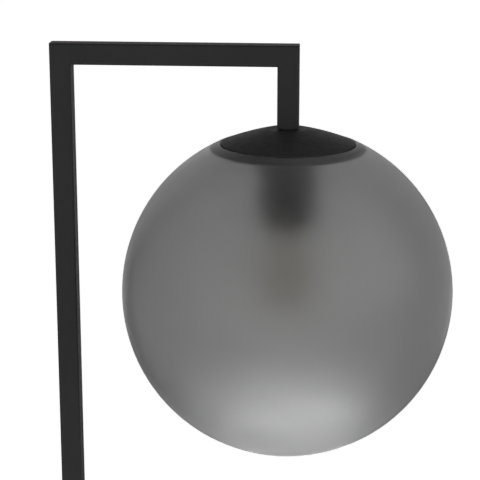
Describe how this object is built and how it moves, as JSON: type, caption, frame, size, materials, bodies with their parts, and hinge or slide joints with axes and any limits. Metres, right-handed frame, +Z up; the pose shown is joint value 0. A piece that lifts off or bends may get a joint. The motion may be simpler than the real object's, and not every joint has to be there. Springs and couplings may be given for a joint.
{
  "type": "floor lamp",
  "caption": "Floor lamp with a round weighted base, square tube post and mitred arm, and a smoked frosted glass globe hung under a short drop with a domed lid.",
  "frame": {"origin": "middle of the round base on the floor plane, under the foot pads", "axes": "+Z up, +X from the post towards the globe along the arm, +Y to the back when the arm points right"},
  "size_m": [0.4045, 0.3, 1.5],
  "materials": {
    "black_coat": "fine-textured matte black powder coat",
    "bare_steel": "plain cold-rolled steel",
    "zinc_steel": "bright zinc plate",
    "black_screw": "black oxide",
    "spring_steel": "tempered strip",
    "cast_iron": "as cast",
    "pad_rubber": "matte",
    "gasket_rubber": "matte",
    "smoked_glass": "smoked, etched matte outside",
    "amber_glass": "amber tinted, clear",
    "clear_glass": "clear",
    "brass": "pressed",
    "black_plastic": "moulded",
    "pale_plastic": "moulded",
    "lead_sheath": "flexible sheath",
    "lead_core": "insulated core",
    "bulb_metal": "rolled thread",
    "bulb_button": "solder",
    "bulb_black": "vitrite",
    "filament_coat": "coated strip",
    "bulb_wire": "drawn wire"
  },
  "bodies": {
    "stand": {"base_cover": "black_coat", "post_lower": "black_coat", "post_upper": "black_coat", "arm": "black_coat", "drop": "black_coat", "lid": "black_coat", "holder_cup": "black_coat", "base_plate": "bare_steel", "post_flange": "bare_steel", "post_joiner": "bare_steel", "drop_plug": "bare_steel", "globe_carrier": "bare_steel", "spacer": "bare_steel", "cover_screws": "zinc_steel", "flange_screws": "zinc_steel", "nipple": "zinc_steel", "lock_washer": "zinc_steel", "stack_nut": "zinc_steel", "clip_rivets": "zinc_steel", "terminal_screws": "zinc_steel", "joiner_screws": "black_screw", "globe_clips": "spring_steel", "base_weight": "cast_iron", "foot_pads": "pad_rubber", "lid_washer": "pad_rubber", "screw_shell": "brass", "centre_contact": "brass", "side_contact": "brass", "cord_gland": "black_plastic", "gland_nut": "black_plastic", "holder_body": "black_plastic", "holder_skirt": "black_plastic", "terminal_block": "pale_plastic", "lead": "lead_sheath", "lead_cores": "lead_core"},
    "globe": {"globe_glass": "smoked_glass", "globe_gasket": "gasket_rubber"},
    "bulb_carriage": {"bulb_contact": "bulb_button"},
    "bulb": {"bulb_cap": "bulb_metal", "bulb_insulator": "bulb_black", "bulb_envelope": "amber_glass", "bulb_stem": "clear_glass", "bulb_filaments": "filament_coat", "bulb_wires": "bulb_wire"}
  },
  "joints": [
    {"name": "globe_off", "type": "slide", "parent": "stand", "child": "globe", "axis": [0, 0, -1], "range_m": [0, 0.17], "deforming": ["globe_clips"]},
    {"name": "bulb_travel", "type": "slide", "parent": "stand", "child": "bulb_carriage", "axis": [0, 0, -1], "range_m": [0, 0.01816]},
    {"name": "bulb_turn", "type": "hinge", "parent": "bulb_carriage", "child": "bulb", "pos_m": [0.102, 0, 1.27515], "axis": [0, 0, -1], "range_deg": [0, 1800]}
  ],
  "couplings": [
    {"joint": "bulb_travel", "follows": "bulb_turn", "m_per_rad": 0.00057757}
  ]
}
